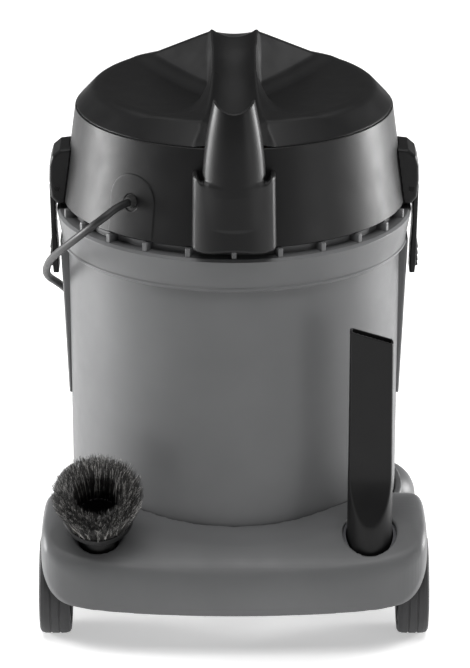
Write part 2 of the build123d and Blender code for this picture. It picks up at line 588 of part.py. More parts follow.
# ---------------------------------------------------------------- latches
def make_latch(side):
    """Bracket on the head, lever that hangs over the rim, and its pin."""
    def at(x, z):
        return (side * x, z)

    bracket = slab_y([at(143, 396), at(LATCH_X + 6.5, 396), at(LATCH_X + 7, 424), at(154, 431), at(140, 431)],
                     -LATCH_HALF - 5, LATCH_HALF + 5)
    for y in (-LATCH_HALF - 5, LATCH_HALF + 0.5):
        cheek = slab_y([at(150, SKIRT_Z + 1), at(LATCH_X + 3, SKIRT_Z + 4), at(LATCH_X + 6.5, 384),
                        at(LATCH_X + 6.5, 400), at(143, 400)], y, y + 4.5)
        bracket += cheek
    bracket -= skirt_filled(0.1)
    for y in BRACKET_SCREWS:
        bracket -= rod_x(2.05, side * 150 - 12, side * 150 + 12, y, BRACKET_SCREW_Z)
    pin_x, pin_z = side * LATCH_X, LATCH_Z
    bracket -= rod_y(PIN_R, -40, 40, pin_x, pin_z)
    pin = rod_y(PIN_R, -LATCH_HALF - 5, LATCH_HALF + 5, pin_x, pin_z)
    lever = slab_y([at(162, LATCH_Z), at(161.6, LATCH_FOOT_Z + 8), at(163, LATCH_FOOT_Z),
                    at(166, LATCH_FOOT_Z), at(165.6, LATCH_FOOT_Z + 10), at(166.8, LATCH_Z)],
                   -LATCH_HALF, LATCH_HALF)
    lever += rod_y(5.5, -LATCH_HALF, LATCH_HALF, pin_x, pin_z)
    lever += block(*sorted((side * (RIM_R + 0.4), side * 163)), -LATCH_HALF + 3, LATCH_HALF - 3, 344, 348)
    lever -= rod_y(PIN_R + 0.06, -40, 40, pin_x, pin_z)
    return bracket, lever, pin


# ---------------------------------------------------------------- cord and plug
def corner_radii(points):
    """Each corner's largest tangent arc: 0.45 of its shorter run, over the tangent of half the turn."""
    radii = []
    for a, b, c in zip(points, points[1:], points[2:]):
        before, after = Vector(*b) - Vector(*a), Vector(*c) - Vector(*b)
        half_turn = math.radians(before.get_angle(after)) / 2
        radii.append(0.45 * min(before.length, after.length) / math.tan(half_turn))
    return radii


def cord_tube(points):
    """Cord of straight runs joined by tangent arcs."""
    radii = corner_radii(points)
    print("cord radii", [round(r, 1) for r in radii])
    path = FilletPolyline(*points, radius=radii)
    solid = sweep(Plane(origin=path @ 0, z_dir=path % 0) * Circle(CORD_R), path=path)
    print("cord length", round(path.length, 1), "volume share",
          round(solid.volume / (math.pi * CORD_R ** 2 * path.length), 4))
    return solid


def exit_point(depth):
    """Point on the cord's own axis through the panel, at a distance from the tub's axis."""
    a = math.radians(CORD_AZIMUTH)
    return (depth * math.sin(a), -depth * math.cos(a), CORD_Z)


HANG = [                     # the cord's way from the panel round the left side and down to the coil
    exit_point(155.5), exit_point(170), (-113, -144, 402), (-127, -143, 391), (-142, -126, 374),
    (-156, -97, 354), (-166, -62, 334), (-171, -31, 314), (-170, -3, 298), (-161.5, 23, 283), (-151, 50, 263),
    (-142, 77, 232), (-137, 102, 196), (-133, 126, 156), (-131, 147, 114), (-129, 165, 76), (-124, 185, 42),
    (-114, 207, 17), (-99, 228, CORD_R), (-84, 245, CORD_R), (-77, 265, CORD_R)]

TAIL = [                     # from the coil's last turn to the plug
    (-4, 330, 24.8), (20, 330.5, 24.5), (46, 325, 22), (67, 312, 19.5), (82, 293, 17.5), (84, 273, 17.5)]


def make_plug():
    """Earthed mains plug lying beside the coil, with its two round pins."""
    at = Pos(TAIL[-1]) * Rot(90, 0, 0)
    grip = turned((0, 0), (4.6, 0), (6.5, 6), (12, 24), (PLUG_R, 31), (PLUG_R, 56), (0, 56))
    grip -= rod(4.9, 44, 60)
    for side in (1, -1):
        grip -= block(-3, 3, side * (PLUG_R + 2) - 4.2, side * (PLUG_R + 2) + 4.2, 31, 57)
        grip -= rod(2.45, 40, 60, side * 9.5, 0)
    pins = [rod(2.4, 40, 75, side * 9.5, 0) for side in (1, -1)]
    return at * grip, at * group(pins)


def head_screws():
    """All the screws of the head: deck to skirt, deck to cover, hook and latch brackets to skirt."""
    screws = [Rot(0, 0, 30 + 60 * i) * Pos(TAB_R, 0, HEAD_LIFT_FLOOR) * screw(9) for i in range(6)]
    screws += [Pos(x, y, HEAD_LIFT_FLOOR) * screw(18) for x, y in COVER_POSTS]
    screws += [Pos(x, -145.8, z) * Rot(90, 0, 0) * screw(18) for x, z in HOOK_SCREWS]
    for side in (1, -1):
        turn = Rot(0, 90 * side, 0)
        screws += [Pos(side * 145.7, y, BRACKET_SCREW_Z) * turn * screw(12) for y in BRACKET_SCREWS]
    return group(screws)


def main():
    os.makedirs("parts", exist_ok=True)
    for old in os.listdir("parts"):
        os.remove(os.path.join("parts", old))

    save("tub", make_tub())
    inlet_screws = make_inlet_parts()
    save("inlet_socket", make_inlet() - group(inlet_screws))
    save("tub_screws", group(inlet_screws + [Pos(x, y, TRAY_Z) * screw(13) for x, y in TRAY_SCREWS]))
    save("chassis", make_chassis())
    save("rear_axle", rod_x(AXLE_R, -171, 171, WHEEL_Y, WHEEL_R))
    hub_caps, latch_pins = [], []
    for side, hand in ((1, "right"), (-1, "left")):
        disc, tyre, cap = make_wheel(side)
        save(f"wheel_disc_{hand}", disc)
        save(f"tyre_{hand}", tyre)
        hub_caps.append(cap)
        fork, wheel, pin = make_caster(side)
        save(f"caster_fork_{hand}", fork)
        save(f"caster_wheel_{hand}", wheel)
        save(f"caster_pin_{hand}", pin)
        bracket, lever, pin = make_latch(side)
        save(f"latch_bracket_{hand}", bracket)
        save(f"latch_lever_{hand}", lever)
        latch_pins.append(pin)
        save("nozzle_cup" if side > 0 else "brush_cup", make_cup(side))
    save("crevice_nozzle", make_nozzle())
    save("hub_caps", group(hub_caps))
    save("latch_pins", group(latch_pins))
    body, bristles = make_brush()
    save("brush_body", body)
    save("brush_bristles", bristles)
    save("head_skirt", make_skirt())
    save("cable_panel", make_cable_panel())
    save("cord_gland", make_cord_gland())
    save("head_cover", make_cover())
    save("motor_deck", make_motor_deck())
    save("head_gasket", tube(MOUTH_R + 2.7, MOUTH_R + 0.3, COLLAR_Z + 0.4, HEAD_LIFT_FLOOR))
    make_motor()
    make_filter()
    make_switch()
    save("cable_hook", make_hook())
    save("head_screws", head_screws())
    save("power_cord", cord_tube(HANG))
    ring = tube(COIL_MEAN_R + COIL_HALF, COIL_MEAN_R - COIL_HALF, 0, COIL_HIGH)
    save("cord_coil", Pos(COIL_X, COIL_Y, 0) * ring)
    save("cord_tail", cord_tube(TAIL))
    body, pins = make_plug()
    save("mains_plug", body)
    save("plug_pins", pins)


if __name__ == "__main__":
    main()
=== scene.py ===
"""A compact shop vacuum seen from its rear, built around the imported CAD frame.

Lengths in the shape functions are millimetres about the tub's own axis, as on a moulding drawing:
+X right as seen from the rear, -Y the rear, +Z up. make_mesh() turns them into metres and moves them
to the frame's origin. Curved mouldings are signed distance fields, negative inside, meshed by
surface_mesh(); round ones are turned profiles, meshed by lathe().
"""

import json
import math
import random
import bpy
import numpy as np
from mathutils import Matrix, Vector


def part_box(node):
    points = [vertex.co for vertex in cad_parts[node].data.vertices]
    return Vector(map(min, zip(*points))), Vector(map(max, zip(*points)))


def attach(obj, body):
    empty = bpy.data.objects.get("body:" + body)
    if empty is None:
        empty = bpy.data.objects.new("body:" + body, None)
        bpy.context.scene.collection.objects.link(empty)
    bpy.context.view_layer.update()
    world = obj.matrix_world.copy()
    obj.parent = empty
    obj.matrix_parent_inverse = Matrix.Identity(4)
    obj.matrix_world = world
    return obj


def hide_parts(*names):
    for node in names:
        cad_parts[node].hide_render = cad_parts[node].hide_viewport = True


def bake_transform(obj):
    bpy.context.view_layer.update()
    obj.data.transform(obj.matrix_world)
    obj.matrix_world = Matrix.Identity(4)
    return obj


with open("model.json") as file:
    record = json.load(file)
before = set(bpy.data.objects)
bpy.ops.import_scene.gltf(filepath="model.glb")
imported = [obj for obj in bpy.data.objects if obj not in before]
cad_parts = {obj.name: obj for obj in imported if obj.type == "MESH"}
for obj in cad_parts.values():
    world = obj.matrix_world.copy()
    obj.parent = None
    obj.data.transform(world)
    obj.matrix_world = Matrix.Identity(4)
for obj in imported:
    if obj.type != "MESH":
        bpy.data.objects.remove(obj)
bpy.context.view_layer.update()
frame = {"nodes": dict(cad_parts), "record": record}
NODES = frame["nodes"]

MM = 0.001
AXIS_Y = (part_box("head_gasket")[0].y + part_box("head_gasket")[1].y) / 2   # where the tub's axis stands, m

# heights (Z) and radii (R) that several pieces share, mm
LIP_Z, RIM_Z, RIM_R = 338.0, 368.0, 161.0
TUB_R, TUB_FOOT_R, TUB_FLOOR_Z, MOUTH_R, COLLAR_Z = 151.0, 149.0, 62.0, 144.5, 382.0
SKIRT_Z, SKIRT_R, SHOULDER_Z, SHOULDER_R = 376.0, 154.6, 465.0, 143.0
BEVEL_Z, BEVEL_R, TOP_Z = 483.5, 125.0, 525.0
WALL, SEAM = 3.0, 0.15
TOOL_X, TOOL_Y = 121.0, -162.0
WHEEL_R, WHEEL_IN, WHEEL_OUT, WHEEL_Y = 45.0, 147.5, 175.5, -123.0
LATCH_X, LATCH_Z = 160.0, 388.0
CORD_D, CORD_Z, CORD_AZIMUTH = 7.0, 409.0, math.radians(-36.9)
COIL_X, COIL_Y, COIL_MEAN_R = -10.0, 262.0, 53.0


# ---------------------------------------------------------------- distance fields
def join(a, b, r=0.0):
    """Union of two fields, with a fillet of radius r in the inner corner."""
    if not r:
        return np.minimum(a, b)
    return np.maximum(r, np.minimum(a, b)) - np.hypot(np.maximum(r - a, 0), np.maximum(r - b, 0))


def meet(a, b, r=0.0):
    """Intersection of two fields, with the edge rounded to radius r."""
    if not r:
        return np.maximum(a, b)
    return np.minimum(-r, np.maximum(a, b)) + np.hypot(np.maximum(r + a, 0), np.maximum(r + b, 0))


def cut(a, b, r=0.0):
    """Field a without field b."""
    return meet(a, -b, r)


def slab(v, low, high):
    """Between two planes."""
    return np.maximum(low - v, v - high)


def polygon(px, py, corners):
    """Distance to a closed outline of (x, y) corners."""
    near, flips = 1e18, False
    for (ax, ay), (bx, by) in zip(corners, corners[1:] + corners[:1]):
        ex, ey = bx - ax, by - ay
        wx, wy = px - ax, py - ay
        t = np.clip((wx * ex + wy * ey) / (ex * ex + ey * ey), 0, 1)
        near = np.minimum(near, (wx - ex * t) ** 2 + (wy - ey * t) ** 2)
        above, below, left = py >= ay, py < by, ex * wy > ey * wx
        flips = flips ^ ((above & below & left) | (~above & ~below & ~left))
    return np.sqrt(near) * np.where(flips, -1, 1)


def smooth_curve(points, steps):
    """Points of a Catmull-Rom curve through the given ones."""
    ends = [points[0]] + list(points) + [points[-1]]
    out = []
    for a, b, c, d in zip(ends, ends[1:], ends[2:], ends[3:]):
        for i in range(steps):
            t = i / steps
            out.append(tuple(0.5 * (2 * q + (r - p) * t + (2 * p - 5 * q + 4 * r - s) * t * t
                                    + (3 * q - p - 3 * r + s) * t ** 3) for p, q, r, s in zip(a, b, c, d)))
    return out + [tuple(points[-1])]


def along(v, knots):
    """Smooth value at v of a quantity given at a few knots (place, value)."""
    fine = smooth_curve(sorted(knots), 10)
    return np.interp(v, [p for p, _ in fine], [q for _, q in fine])


# ---------------------------------------------------------------- meshes
def make_mesh(name, points, faces, normals=None):
    """Smooth-shaded object from points in mm about the tub's axis."""
    points = np.asarray(points, float) * MM + (0, AXIS_Y, 0)
    mesh = bpy.data.meshes.new(name)
    mesh.from_pydata(points.tolist(), [], faces if isinstance(faces, list) else faces.tolist())
    mesh.polygons.foreach_set("use_smooth", [True] * len(mesh.polygons))
    if normals is not None:
        mesh.normals_split_custom_set_from_vertices(normals.tolist())
    mesh.update()
    obj = bpy.data.objects.new(name, mesh)
    bpy.context.scene.collection.objects.link(obj)
    return obj


def slope(field, p, eps=0.03):
    """Value and gradient of a field at points."""
    x, y, z = p.T
    here = field(x, y, z)
    ahead = [field(x + eps, y, z), field(x, y + eps, z), field(x, y, z + eps)]
    return here, (np.stack(ahead, 1) - here[:, None]) / eps


def surface_mesh(name, field, low, high, step):
    """Mesh of a field's zero surface: surface nets on a grid, then every vertex moved onto the surface."""
    axes = [np.arange(a - step, b + 2 * step, step) for a, b in zip(low, high)]
    shape = tuple(len(a) for a in axes)
    gx, gy, gz = axes[0][:, None, None], axes[1][None, :, None], axes[2][None, None, :]
    values = np.ascontiguousarray(np.broadcast_to(field(gx, gy, gz), shape))
    inside = values < 0
    corners = [(i, j, k) for i in (0, 1) for j in (0, 1) for k in (0, 1)]

    def shifted(grid, i, j, k):
        return grid[i:shape[0] - 1 + i, j:shape[1] - 1 + j, k:shape[2] - 1 + k]

    count = sum(shifted(inside, *c).astype(np.int8) for c in corners)
    mixed = (count > 0) & (count < 8)
    where = np.argwhere(mixed)
    index = np.full(mixed.shape, -1, np.int64)
    index[mixed] = np.arange(len(where))
    total, hits = np.zeros((len(where), 3)), np.zeros((len(where), 1))
    for a in corners:
        for axis in range(3):
            if a[axis]:
                continue
            b = tuple(1 if n == axis else c for n, c in enumerate(a))
            va = values[tuple((where + a).T)]
            vb = values[tuple((where + b).T)]
            crossing = (va < 0) != (vb < 0)
            t = np.where(crossing, va / np.where(crossing, va - vb, 1), 0)
            place = np.tile(np.array(a, float), (len(where), 1))
            place[:, axis] += t
            total += place * crossing[:, None]
            hits += crossing[:, None]
    p = (where + total / hits) * step + [a[0] for a in axes]
    quads = []
    for axis in range(3):
        one, two = (axis + 1) % 3, (axis + 2) % 3
        span = [slice(1, n - 1) for n in shape]
        span[axis] = slice(0, shape[axis] - 1)
        after = list(span)
        after[axis] = slice(1, shape[axis])
        here, there = inside[tuple(span)], inside[tuple(after)]
        at = np.argwhere(here != there) + [s.start for s in span]
        inward = inside[tuple(at.T)]
        u, v = np.eye(3, dtype=int)[one], np.eye(3, dtype=int)[two]
        ring = np.stack([index[tuple((at - d).T)] for d in (u + v, v, 0 * u, u)], 1)
        quads.append(np.where(inward[:, None], ring, ring[:, ::-1]))
    quads = np.concatenate(quads)
    for relax in (True, True, False, False):      # evens out the quads first, then only seeks the surface
        if relax:
            total, hits = np.zeros_like(p), np.zeros((len(p), 1))
            for n in range(4):
                np.add.at(total, quads[:, n], p[quads[:, (n + 1) % 4]])
                np.add.at(hits, quads[:, n], 1)
            p = 0.5 * p + 0.5 * total / hits
        value, g = slope(field, p)
        move = g * (value / np.maximum((g * g).sum(1), 0.05))[:, None]
        length = np.linalg.norm(move, axis=1, keepdims=True)
        p = p - move * np.minimum(1, step * 0.6 / np.maximum(length, 1e-9))
    x, y, z = p.T
    eps = 0.2
    g = np.stack([field(x + eps, y, z) - field(x - eps, y, z), field(x, y + eps, z) - field(x, y - eps, z),
                  field(x, y, z + eps) - field(x, y, z - eps)], 1)
    return make_mesh(name, p, quads, g / np.maximum(np.linalg.norm(g, axis=1, keepdims=True), 1e-9))


def rounded(corners, radius, steps):
    """Closed (r, z) profile with rounded corners, with the outward normal at each point."""
    area = sum(a[0] * b[1] - b[0] * a[1] for a, b in zip(corners, corners[1:] + corners[:1]))
    if area < 0:
        corners = corners[::-1]
    points, normals = [], []
    for i, b in enumerate(corners):
        a, c = np.array(corners[i - 1], float), np.array(corners[(i + 1) % len(corners)], float)
        b = np.array(b, float)
        one, two = a - b, c - b
        la, lc = np.linalg.norm(one), np.linalg.norm(two)
        one, two = one / la, two / lc
        out_in, out_out = np.array((-one[1], one[0])), np.array((two[1], -two[0]))
        turn = math.acos(max(-1, min(1, -one @ two)))
        if turn < 0.06:
            points.append(b)
            normals.append(out_in + out_out)
            continue
        reach = min(radius * math.tan(turn / 2), 0.45 * la, 0.45 * lc)
        start, finish = b + one * reach, b + two * reach
        middle = (one + two) / np.linalg.norm(one + two)
        centre = b + middle * reach / math.sin(turn / 2)
        for n in range(steps + 1):
            t = n / steps
            v = (start - centre) * (1 - t) + (finish - centre) * t
            v = v / np.linalg.norm(v) * reach / math.tan(turn / 2)
            points.append(centre + v)
            normals.append(out_in * (1 - t) + out_out * t)
    normals = np.array(normals)
    return np.array(points), normals / np.linalg.norm(normals, axis=1, keepdims=True)


def lathe(name, corners, radius, segments, centre=(0, 0, 0), turn=None, steps=4):
    """Turned ring with a closed, rounded (r, z) profile; turn is an optional 3x3 matrix for its direction."""
    profile, outward = rounded(list(corners), radius, steps)
    angles = np.linspace(0, 2 * math.pi, segments, endpoint=False)[:, None]

    def swept(rz):
        return np.stack([np.cos(angles) * rz[:, 0], np.sin(angles) * rz[:, 0],
                         np.broadcast_to(rz[:, 1], (segments, len(rz)))], 2).reshape(-1, 3)

    p, normals = swept(profile), swept(outward)
    if turn is not None:
        p, normals = p @ np.array(turn).T, normals @ np.array(turn).T
    n = len(profile)
    i = np.arange(segments)[:, None] * n
    j = np.roll(np.arange(segments), -1)[:, None] * n
    k, m = np.arange(n)[None, :], np.roll(np.arange(n), -1)[None, :]
    quads = np.stack([i + k, j + k, j + m, i + m], 2).reshape(-1, 4)
    return make_mesh(name, p + np.array(centre), quads, normals)


def merge(name, pieces):
    """One object from several, each part keeping its own normals."""
    points, faces, normals, base = [], [], [], 0
    for piece in pieces:
        mesh = piece.data
        co = np.zeros(len(mesh.vertices) * 3)
        mesh.vertices.foreach_get("co", co)
        corner = np.zeros(len(mesh.loops) * 3)
        mesh.corner_normals.foreach_get("vector", corner)
        index = np.zeros(len(mesh.loops), int)
        mesh.loops.foreach_get("vertex_index", index)
        own = np.zeros((len(mesh.vertices), 3))
        own[index] = corner.reshape(-1, 3)
        points.append((co.reshape(-1, 3) - (0, AXIS_Y, 0)) / MM)
        normals.append(own)
        faces += [[base + v for v in face.vertices] for face in mesh.polygons]
        base += len(mesh.vertices)
        bpy.data.objects.remove(piece)
    return make_mesh(name, np.concatenate(points), faces, np.concatenate(normals))


# ---------------------------------------------------------------- camera, lights, floor
CAMERA_X, CAMERA_BACK, CAMERA_HEIGHT, CAMERA_DIP = 0.0008, 3.5, 1.513, 19.97      # m, and degrees below level
LENS, SENSOR, FAR_CLIP = 218, 36, 50
FLOOR_HALF, FLOOR_GLOW, WORLD_STRENGTH = 9.0, 0.42, 0.13
SOFTBOXES = [                # name, place, aim, width, height, power: m and W
    ("softbox_left", (-2.25, 0.45, 0.42), (0, 0, 0.28), 0.8, 0.95, 82),
    ("softbox_right", (2.1, -1.5, 0.45), (0, 0, 0.3), 0.45, 0.9, 6),
    ("edge_right", (2.15, 0.85, 0.42), (0, 0, 0.3), 0.6, 0.85, 62),
    ("softbox_top", (0.0, 0.2, 3.2), (0, 0.2, 0.0), 4.5, 4.0, 76),
    ("softbox_rear", (0.0, -1.7, 2.9), (0, 0, 0.3), 2.4, 1.2, 46)]


def add_camera():
    """A long lens well behind the machine, looking down by about twenty degrees."""
    camera = bpy.data.cameras.new("camera")
    camera.lens, camera.sensor_width, camera.clip_end = LENS, SENSOR, FAR_CLIP
    obj = bpy.data.objects.new("camera", camera)
    obj.location = (CAMERA_X, AXIS_Y - CAMERA_BACK, CAMERA_HEIGHT)
    obj.rotation_euler = (math.radians(90 - CAMERA_DIP), 0, 0)
    bpy.context.scene.collection.objects.link(obj)
    bpy.context.scene.camera = obj


def add_area(name, place, target, width, height, power):
    """Rectangular softbox aimed at a point."""
    light = bpy.data.lights.new(name, "AREA")
    light.shape, light.size, light.size_y, light.energy = "RECTANGLE", width, height, power
    obj = bpy.data.objects.new(name, light)
    obj.location = place
    direction = np.array(target, float) - np.array(place, float)
    obj.rotation_euler = Vector(direction).to_track_quat("-Z", "Y").to_euler()
    bpy.context.scene.collection.objects.link(obj)


def add_stage():
    """White floor, a pale surround and the studio softboxes."""
    bpy.context.scene.view_settings.view_transform = "Standard"
    world = bpy.data.worlds.new("studio")
    bpy.context.scene.world = world
    world.use_nodes = True
    background = world.node_tree.nodes["Background"]
    background.inputs["Color"].default_value = (1, 1, 1, 1)
    background.inputs["Strength"].default_value = WORLD_STRENGTH
    half = FLOOR_HALF
    mesh = bpy.data.meshes.new("floor")
    corners = [(-half, -half, 0), (half, -half, 0), (half, half, 0), (-half, half, 0)]
    mesh.from_pydata(corners, [], [[0, 1, 2, 3]])
    floor = bpy.data.objects.new("floor", mesh)
    bpy.context.scene.collection.objects.link(floor)
    floor.data.materials.append(paper())
    for softbox in SOFTBOXES:
        add_area(*softbox)


# ---------------------------------------------------------------- materials
def new_material(name, color, roughness, **sockets):
    """Material with its uniform values on the shader's own sockets."""
    material = bpy.data.materials.new(name)
    material.use_nodes = True
    shader = material.node_tree.nodes["Principled BSDF"]
    shader.inputs["Base Color"].default_value = (*color, 1)
    shader.inputs["Roughness"].default_value = roughness
    for socket, value in sockets.items():
        shader.inputs[socket.replace("_", " ")].default_value = value
    return material, material.node_tree.nodes, material.node_tree.links, shader


def noise(nodes, links, scale, detail, stretch=None):
    """Noise in object space, with an optional stretch along the axes."""
    place = nodes.new("ShaderNodeTexCoord")
    source = place.outputs["Object"]
    if stretch:
        mapping = nodes.new("ShaderNodeMapping")
        mapping.inputs["Scale"].default_value = stretch
        links.new(source, mapping.inputs["Vector"])
        source = mapping.outputs["Vector"]
    node = nodes.new("ShaderNodeTexNoise")
    node.inputs["Scale"].default_value = scale
    node.inputs["Detail"].default_value = detail
    links.new(source, node.inputs["Vector"])
    return node.outputs["Fac"]


def spread(nodes, links, value, low, high):
    """A 0 to 1 texture brought to another range."""
    node = nodes.new("ShaderNodeMapRange")
    node.inputs["From Min"].default_value, node.inputs["From Max"].default_value = 0.3, 0.7
    node.inputs["To Min"].default_value, node.inputs["To Max"].default_value = low, high
    links.new(value, node.inputs["Value"])
    return node.outputs["Result"]


def tint(nodes, links, value, dark, light):
    """Colour between two shades, by a texture."""
    node = nodes.new("ShaderNodeMix")
    node.data_type = "RGBA"
    node.inputs["A"].default_value, node.inputs["B"].default_value = (*dark, 1), (*light, 1)
    links.new(value, node.inputs["Factor"])
    return node.outputs["Result"]


def bump(nodes, links, shader, height, distance):
    """Relief from a texture, in metres."""
    node = nodes.new("ShaderNodeBump")
    node.inputs["Distance"].default_value = distance
    node.inputs["Strength"].default_value = 1.0
    links.new(height, node.inputs["Height"])
    links.new(node.outputs["Normal"], shader.inputs["Normal"])


CLOUDING = 0.06             # how far moulded plastic strays from its colour, either way


def moulded(name, color, roughness, grain=2600.0, depth=0.00003, shine=0.3):
    """Injection-moulded plastic: fine grain, faint flow clouding, uneven gloss and slightly paler edges."""
    material, nodes, links, shader = new_material(name, color, roughness, Specular_IOR_Level=shine)
    cloud = noise(nodes, links, 14.0, 5.0)
    wear = nodes.new("ShaderNodeNewGeometry").outputs["Pointiness"]
    edge = nodes.new("ShaderNodeMapRange")
    edge.inputs["From Min"].default_value, edge.inputs["From Max"].default_value = 0.52, 0.62
    edge.inputs["To Min"].default_value, edge.inputs["To Max"].default_value = 0.0, 0.35
    links.new(wear, edge.inputs["Value"])
    shade = tint(nodes, links, spread(nodes, links, cloud, 0, 1), [c * (1 - CLOUDING) for c in color],
                 [min(1, c * (1 + CLOUDING)) for c in color])
    worn = nodes.new("ShaderNodeMix")
    worn.data_type = "RGBA"
    worn.inputs["B"].default_value = (*[min(1, c * 1.5 + 0.01) for c in color], 1)
    links.new(shade, worn.inputs["A"])
    links.new(edge.outputs["Result"], worn.inputs["Factor"])
    links.new(worn.outputs["Result"], shader.inputs["Base Color"])
    patches = noise(nodes, links, 45.0, 3.0)
    links.new(spread(nodes, links, patches, roughness * 0.9, roughness * 1.12), shader.inputs["Roughness"])
    bump(nodes, links, shader, noise(nodes, links, grain, 2.0), depth)
    return material


def rubber(name, color, roughness, grain=900.0, depth=0.00006):
    """Matt rubber or soft cable jacket with a fine skin and dusty patches."""
    material, nodes, links, shader = new_material(name, color, roughness, Specular_IOR_Level=0.35)
    dust = noise(nodes, links, 60.0, 6.0)
    shade = tint(nodes, links, spread(nodes, links, dust, 0, 1), color, [c * 1.5 + 0.004 for c in color])
    links.new(shade, shader.inputs["Base Color"])
    gloss = spread(nodes, links, dust, roughness * 0.85, min(1, roughness * 1.15))
    links.new(gloss, shader.inputs["Roughness"])
    bump(nodes, links, shader, noise(nodes, links, grain, 3.0), depth)
    return material


def metal(name, color, roughness, stretch=(1, 1, 14)):
    """Turned or drawn metal with fine directional lines."""
    material, nodes, links, shader = new_material(name, color, roughness, Metallic=1.0)
    lines = noise(nodes, links, 260.0, 4.0, stretch)
    links.new(tint(nodes, links, lines, [c * 0.82 for c in color], color), shader.inputs["Base Color"])
    links.new(spread(nodes, links, lines, roughness * 0.7, roughness * 1.4), shader.inputs["Roughness"])
    bump(nodes, links, shader, lines, 0.00002)
    return material


def fibre(name, color, scale):
    """Open foam or folded paper: a matt, speckled skin."""
    material, nodes, links, shader = new_material(name, color, 0.95, Sheen_Weight=0.3)
    speck = noise(nodes, links, scale, 6.0)
    links.new(tint(nodes, links, spread(nodes, links, speck, 0, 1), [c * 0.6 for c in color], color),
              shader.inputs["Base Color"])
    bump(nodes, links, shader, speck, 0.0004)
    return material


PALE_STRAND = (0.75, 0.73, 0.7)


def hair(name, color):
    """Nylon bristle: dark strands with paler ones among them, each a little mottled, and a narrow shine."""
    material, nodes, links, shader = new_material(name, color, 0.34, Specular_IOR_Level=0.5)
    strand = nodes.new("ShaderNodeAttribute")
    strand.attribute_name = "pale"
    mottle = nodes.new("ShaderNodeMath")
    mottle.operation = "MULTIPLY"
    links.new(strand.outputs["Fac"], mottle.inputs[0])
    links.new(noise(nodes, links, 620.0, 1.0), mottle.inputs[1])
    shade = tint(nodes, links, mottle.outputs["Value"], color, PALE_STRAND)
    links.new(shade, shader.inputs["Base Color"])
    return material


def paper():
    """White studio floor with the faintest mottling, and a little light of its own to stay white."""
    material, nodes, links, shader = new_material("sweep", (0.9, 0.9, 0.9), 0.6)
    mottle = noise(nodes, links, 3.0, 2.0)
    links.new(tint(nodes, links, mottle, (0.93, 0.93, 0.93), (0.96, 0.96, 0.96)), shader.inputs["Base Color"])
    shader.inputs["Emission Color"].default_value = (1, 1, 1, 1)
    shader.inputs["Emission Strength"].default_value = FLOOR_GLOW
    return material


GREY, BLACK = (0.098, 0.099, 0.101), (0.0048, 0.0048, 0.005)


def make_materials():
    """One material for each of the record's slots."""
    return {
        "grey_plastic": moulded("grey_plastic", GREY, 0.42),
        "black_plastic": moulded("black_plastic", BLACK, 0.4, shine=0.2),
        "inner_plastic": moulded("inner_plastic", (0.05, 0.05, 0.055), 0.5, 1400.0, 0.00005),
        "wheel_plastic": moulded("wheel_plastic", (0.03, 0.03, 0.032), 0.5, 1800.0, 0.00004),
        "float_plastic": moulded("float_plastic", (0.6, 0.6, 0.57), 0.4, 2000.0),
        "switch_red": moulded("switch_red", (0.35, 0.02, 0.02), 0.2, 3000.0, 0.00001),
        "carbon": moulded("carbon", (0.03, 0.03, 0.03), 0.7, 1200.0, 0.00008),
        "rubber_black": rubber("rubber_black", (0.008, 0.008, 0.008), 0.66),
        "tyre": rubber("tyre", (0.022, 0.022, 0.023), 0.62, 700.0, 0.00012),
        "cord_rubber": rubber("cord_rubber", (0.006, 0.006, 0.0065), 0.45, 1500.0, 0.00003),
        "bristle": hair("bristle", (0.004, 0.004, 0.004)),
        "foam": fibre("foam", (0.05, 0.05, 0.055), 700.0),
        "filter_paper": fibre("filter_paper", (0.62, 0.6, 0.53), 400.0),
        "steel": metal("steel", (0.56, 0.56, 0.57), 0.32),
        "aluminium": metal("aluminium", (0.72, 0.72, 0.73), 0.38, (1, 12, 1)),
        "copper": metal("copper", (0.72, 0.36, 0.2), 0.35, (12, 1, 1)),
        "nickel": metal("nickel", (0.62, 0.6, 0.53), 0.2),
    }


# ---------------------------------------------------------------- cord
def exit_point(depth):
    """Point on the cord's own axis through the panel, at a distance from the tub's axis."""
    return (depth * math.sin(CORD_AZIMUTH), -depth * math.cos(CORD_AZIMUTH), CORD_Z)


EXIT_R = 155.5               # how far from the axis the cord leaves the panel

HANG = [                     # the cord's way from the panel round the left side and down to the coil
    exit_point(EXIT_R), exit_point(170), (-113, -144, 402), (-127, -143, 391), (-142, -126, 374),
    (-156, -97, 354), (-166, -62, 334), (-171, -31, 314), (-170, -3, 298), (-161.5, 23, 283), (-151, 50, 263),
    (-142, 77, 232), (-137, 102, 196), (-133, 126, 156), (-131, 147, 114), (-129, 165, 76), (-124, 185, 42),
    (-114, 207, 17), (-99, 228, 3.5), (-84, 245, 3.5), (-77, 265, 3.5)]

TAIL = [                     # from the coil's last turn to the plug
    (-4, 330, 24.8), (20, 330.5, 24.5), (46, 325, 22), (67, 312, 19.5), (82, 293, 17.5), (84, 273, 17.5)]

TURNS_ACROSS, LAYERS, TURN_STEP, LAYER_STEP, TURN_POINTS = 5, 4, 7.2, 7.1, 16


